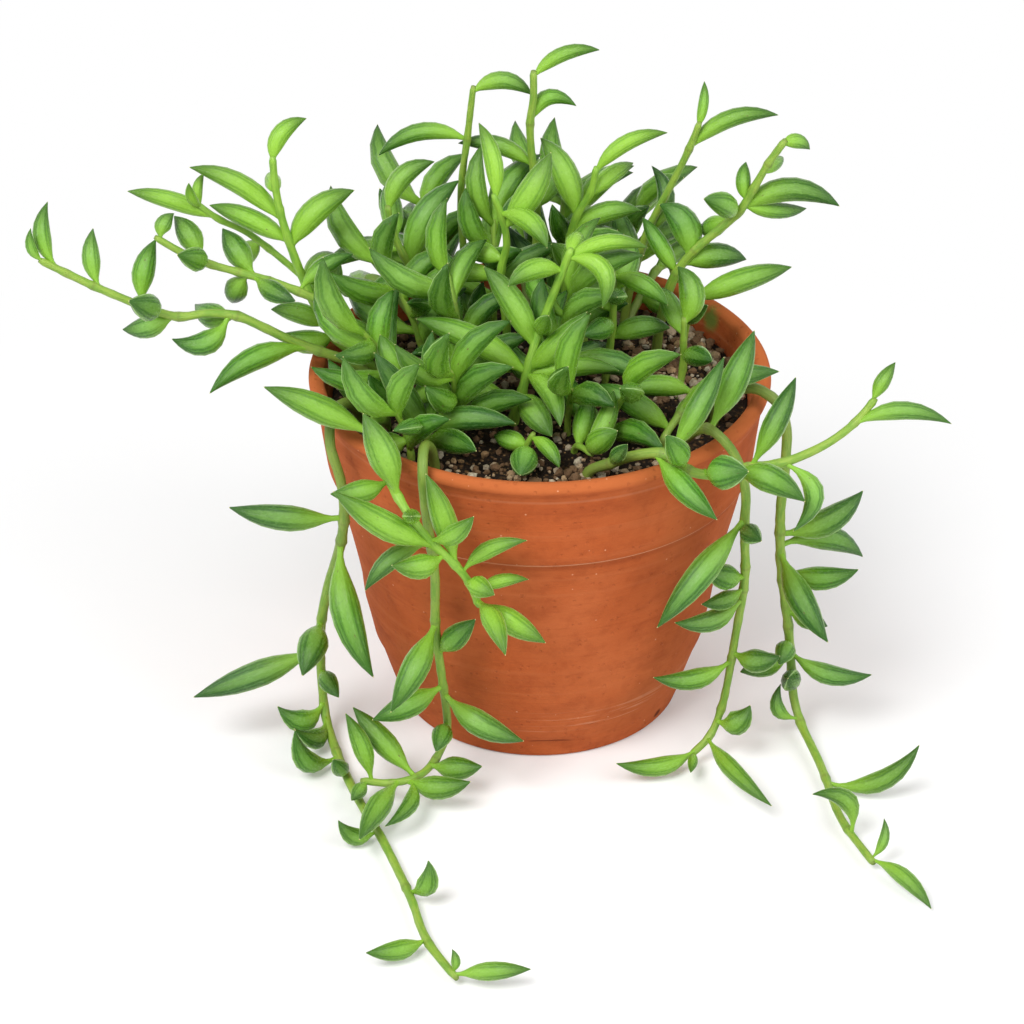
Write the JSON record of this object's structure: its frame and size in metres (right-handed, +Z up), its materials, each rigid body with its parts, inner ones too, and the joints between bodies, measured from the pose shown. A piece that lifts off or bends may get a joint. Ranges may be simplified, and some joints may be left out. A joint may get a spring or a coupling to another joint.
{
  "type": "potted string of bananas plant",
  "caption": "Trailing succulent with banana-shaped leaves on thin stems, growing in soil in a round tapered clay pot with a collared rim and a drain hole.",
  "frame": {"origin": "on the surface that the pot stands on, under the middle of the whole object's box; the pot's own axis is at x 16 mm, y 34 mm", "axes": "+Z up along the pot's axis; the two pairs of long trailing shoots hang towards -Y, the longest reaching shoots lean towards -X"},
  "size_m": [0.2706, 0.2474, 0.1993],
  "materials": {
    "clay": "matt unglazed terracotta",
    "potting_mix": "dark crumbly potting mix with pale grit",
    "leaf_green": "satin fleshy leaf",
    "young_green": "satin fleshy leaf, young growth"
  },
  "bodies": {
    "root": {"back_left_arching": "leaf_green", "back_left_hooked": "leaf_green", "back_middle_right_light": "young_green", "back_middle_tall": "leaf_green", "back_right_tall": "leaf_green", "back_trail_far_left": "leaf_green", "back_trail_far_right": "leaf_green", "back_trail_left": "leaf_green", "back_trail_middle": "leaf_green", "back_trail_right": "leaf_green", "crown_right": "leaf_green", "front_left_light_trail": "young_green", "front_left_long_trail": "leaf_green", "front_left_short_trail": "leaf_green", "front_low_left": "leaf_green", "front_low_middle": "leaf_green", "front_low_right": "leaf_green", "front_middle_light": "young_green", "left_reaching_long": "leaf_green", "left_reaching_short": "leaf_green", "left_side_branch_light": "young_green", "left_upright_light": "young_green", "middle_upright_light": "young_green", "pot": "clay", "right_back_cluster": "leaf_green", "right_back_low": "leaf_green", "right_front_inner": "leaf_green", "right_hanging_trail": "leaf_green", "right_inner_upright": "leaf_green", "right_long_trail": "leaf_green", "right_reaching": "leaf_green", "soil": "potting_mix", "tuft_back": "leaf_green", "tuft_back_left": "leaf_green", "tuft_back_right": "leaf_green", "tuft_front_left": "leaf_green", "tuft_front_middle": "leaf_green", "tuft_left_back": "leaf_green", "tuft_left_edge": "leaf_green", "tuft_left_front": "leaf_green", "tuft_middle": "leaf_green", "tuft_middle_back": "leaf_green", "tuft_middle_left": "leaf_green", "tuft_middle_right": "leaf_green", "tuft_right_back": "leaf_green", "tuft_right_front": "leaf_green"}
  },
  "joints": []
}
